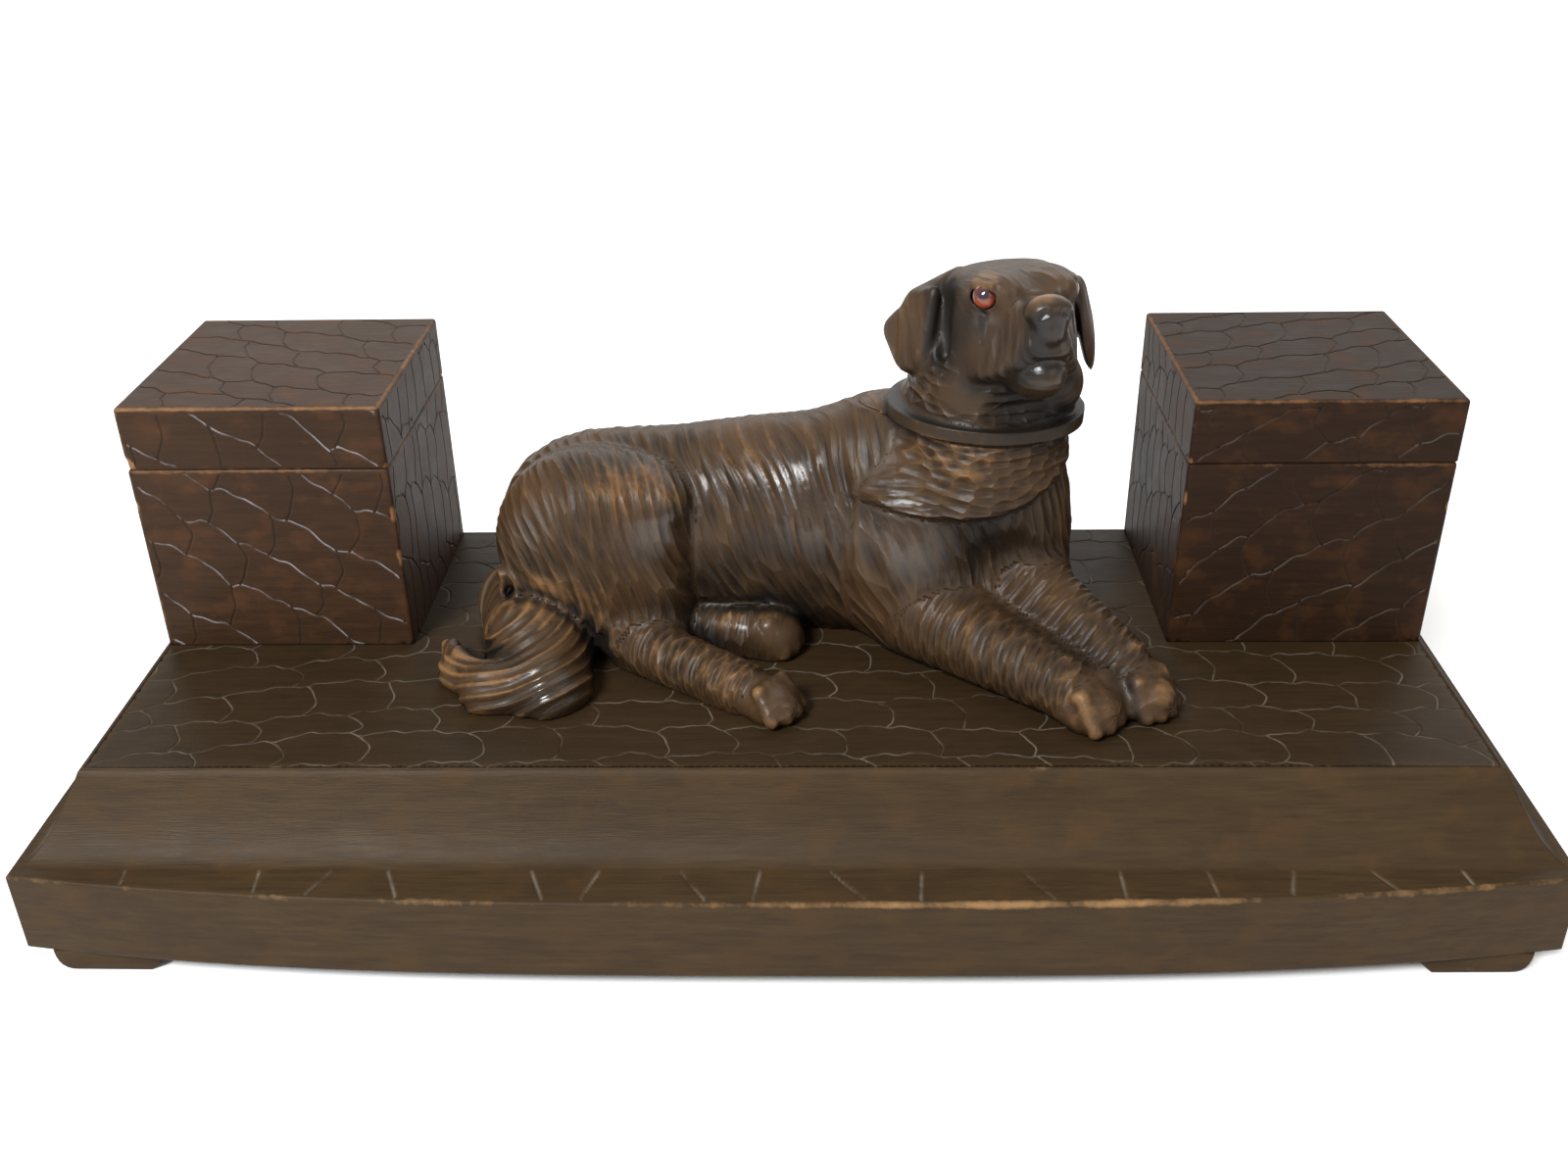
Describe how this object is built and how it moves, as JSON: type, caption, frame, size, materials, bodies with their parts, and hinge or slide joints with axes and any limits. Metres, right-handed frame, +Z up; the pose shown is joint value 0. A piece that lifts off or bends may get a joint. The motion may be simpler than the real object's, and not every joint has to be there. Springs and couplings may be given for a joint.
{
  "type": "inkstand",
  "caption": "Carved wooden desk inkstand: a long moulded plinth on pad feet with a square lidded ink box at each end and a large hanging-eared dog lying between them.",
  "frame": {"origin": "on the ground under the middle of the whole inkstand's box", "axes": "+X along the plinth towards the dog's head, +Y from the front to the back, +Z up; the dog looks to the front, -Y"},
  "size_m": [0.4, 0.163, 0.1647],
  "materials": {
    "plinth_wood": "dark brown stain, worn satin varnish, incised scale lines",
    "box_wood": "dark red-brown stain, worn satin varnish, incised lines",
    "dog_wood": "dark walnut stain with worn orange-brown high points, gouged fur, semi-gloss varnish",
    "eye_glass": "polished amber glass"
  },
  "bodies": {
    "root": {"plinth": "plinth_wood", "foot_front_left": "plinth_wood", "foot_front_right": "plinth_wood", "foot_back_left": "plinth_wood", "foot_back_right": "plinth_wood", "left_box": "box_wood", "left_lid": "box_wood", "right_box": "box_wood", "right_lid": "box_wood", "dog": "dog_wood", "right_eye": "eye_glass", "left_eye": "eye_glass"}
  },
  "joints": []
}
